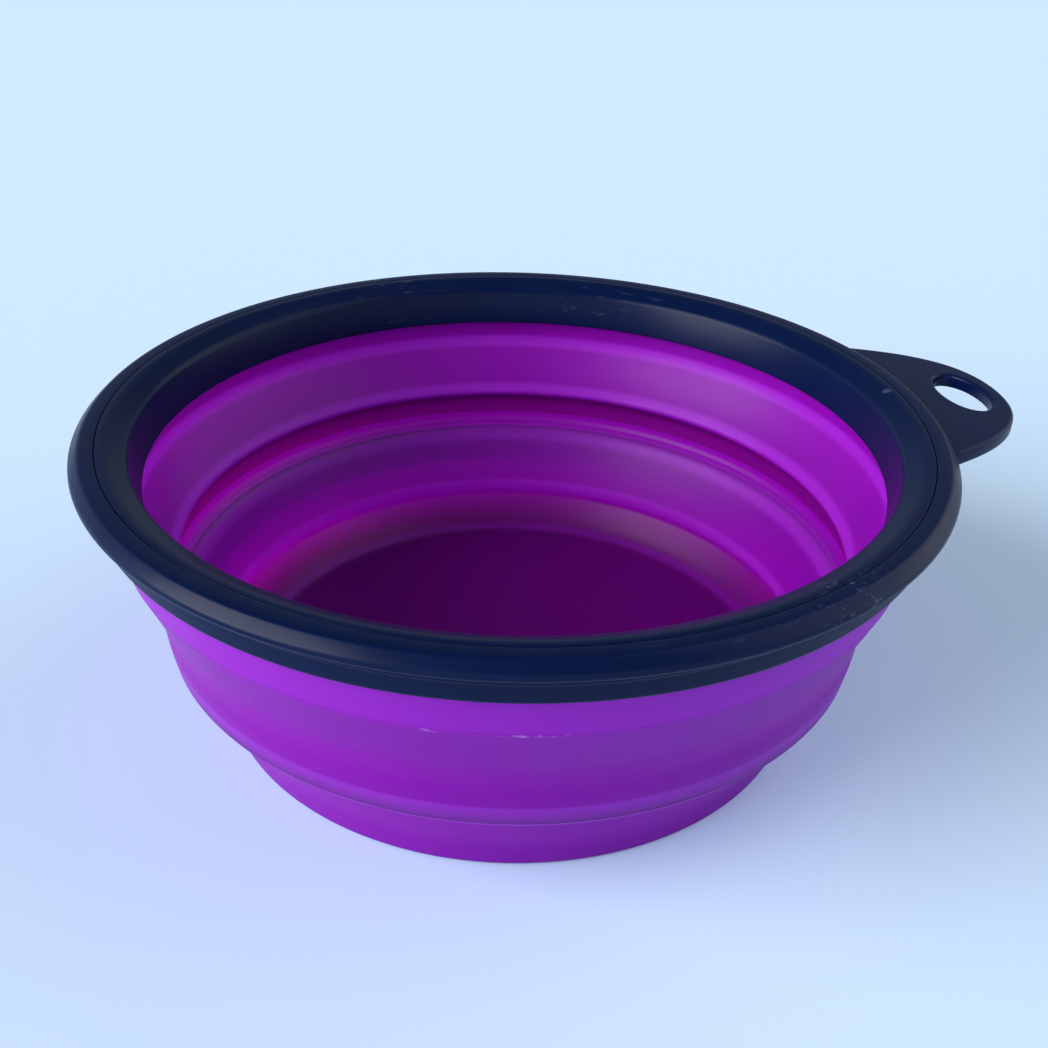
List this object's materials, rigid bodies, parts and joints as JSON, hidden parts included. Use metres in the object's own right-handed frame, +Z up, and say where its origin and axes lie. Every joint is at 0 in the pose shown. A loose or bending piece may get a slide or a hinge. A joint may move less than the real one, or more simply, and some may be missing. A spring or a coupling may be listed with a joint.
{
  "type": "collapsible bowl",
  "caption": "Folding silicone travel bowl with a two-part hard rim and a hang tab; it pushes flat in two nested stages.",
  "frame": {"origin": "centre of the flat underside of the base", "axes": "+Z up out of the bowl's mouth, +X out through the hang tab"},
  "size_m": [0.1443, 0.13, 0.0476],
  "materials": {
    "silicone": "satin moulded silicone",
    "rim_plastic": "semi-gloss moulded plastic"
  },
  "bodies": {
    "base": {"base_cup": "silicone"},
    "middle": {"middle_band": "silicone", "lower_fold": "silicone"},
    "rim": {"rim_ring": "rim_plastic", "clamp_ring": "rim_plastic", "top_band": "silicone", "upper_fold": "silicone"}
  },
  "joints": [
    {"name": "lower_collapse", "type": "slide", "parent": "base", "child": "middle", "axis": [0, 0, -1], "range_m": [0, 0.0095], "deforming": ["lower_fold"]},
    {"name": "upper_collapse", "type": "slide", "parent": "middle", "child": "rim", "axis": [0, 0, -1], "range_m": [0, 0.015], "deforming": ["upper_fold"]}
  ]
}
